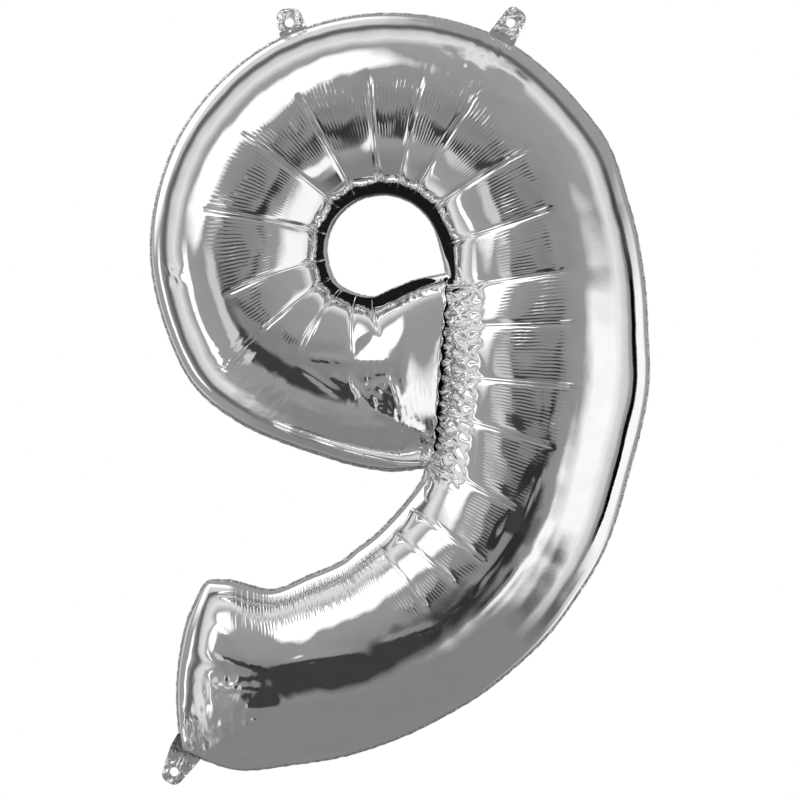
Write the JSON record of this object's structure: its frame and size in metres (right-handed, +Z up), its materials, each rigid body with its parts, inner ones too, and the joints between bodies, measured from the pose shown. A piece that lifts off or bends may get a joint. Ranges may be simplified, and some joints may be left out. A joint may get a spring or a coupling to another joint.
{
  "type": "foil number balloon",
  "caption": "Inflated foil balloon shaped as the digit nine, with hanging tabs, a filling neck and a self-sealing valve.",
  "frame": {"origin": "halfway between the centres of the two hanging holes, on the seam plane where the front and back films meet", "axes": "+X to the digit's right seen from its front, -Y out of the front film, +Z up"},
  "size_m": [0.5517, 0.1746, 0.8583],
  "materials": {
    "foil": "polished",
    "weld": "satin",
    "tab_film": "gloss",
    "valve_film": "satin"
  },
  "bodies": {
    "balloon": {"front_panel": "foil", "back_panel": "foil", "outer_seam": "weld", "hole_seam": "weld", "junction_weld": "weld"},
    "tab_left": {"tab_left_front": "tab_film", "tab_left_back": "tab_film"},
    "tab_right": {"tab_right_front": "tab_film", "tab_right_back": "tab_film"},
    "neck": {"neck_front": "tab_film", "neck_back": "tab_film"},
    "valve_front": {"valve_front_film": "valve_film"},
    "valve_back": {"valve_back_film": "valve_film"}
  },
  "joints": [
    {"name": "tab_left_bend", "type": "hinge", "parent": "balloon", "child": "tab_left", "pos_m": [-0.11807, 0, -0.00922], "axis": [0.9201, 0, 0.3917], "range_deg": [-80, 80], "stiffness_Nm_per_rad": 0.0005},
    {"name": "tab_right_bend", "type": "hinge", "parent": "balloon", "child": "tab_right", "pos_m": [0.11267, 0, -0.01684], "axis": [0.8747, 0, -0.4847], "range_deg": [-80, 80], "stiffness_Nm_per_rad": 0.0005},
    {"name": "neck_bend", "type": "hinge", "parent": "balloon", "child": "neck", "pos_m": [-0.2367, 0, -0.8047], "axis": [-0.866, 0, 0.5], "range_deg": [-80, 80], "stiffness_Nm_per_rad": 0.0005},
    {"name": "valve_front_open", "type": "hinge", "parent": "balloon", "child": "valve_front", "pos_m": [-0.218, -0.0003, -0.783], "axis": [0.866, 0, -0.5], "range_deg": [0, 6], "stiffness_Nm_per_rad": 0.0005},
    {"name": "valve_back_open", "type": "hinge", "parent": "balloon", "child": "valve_back", "pos_m": [-0.218, 0.0003, -0.783], "axis": [0.866, 0, -0.5], "range_deg": [-6, 0], "stiffness_Nm_per_rad": 0.0005}
  ],
  "couplings": [
    {"joint": "valve_back_open", "follows": "valve_front_open", "ratio": -1}
  ]
}
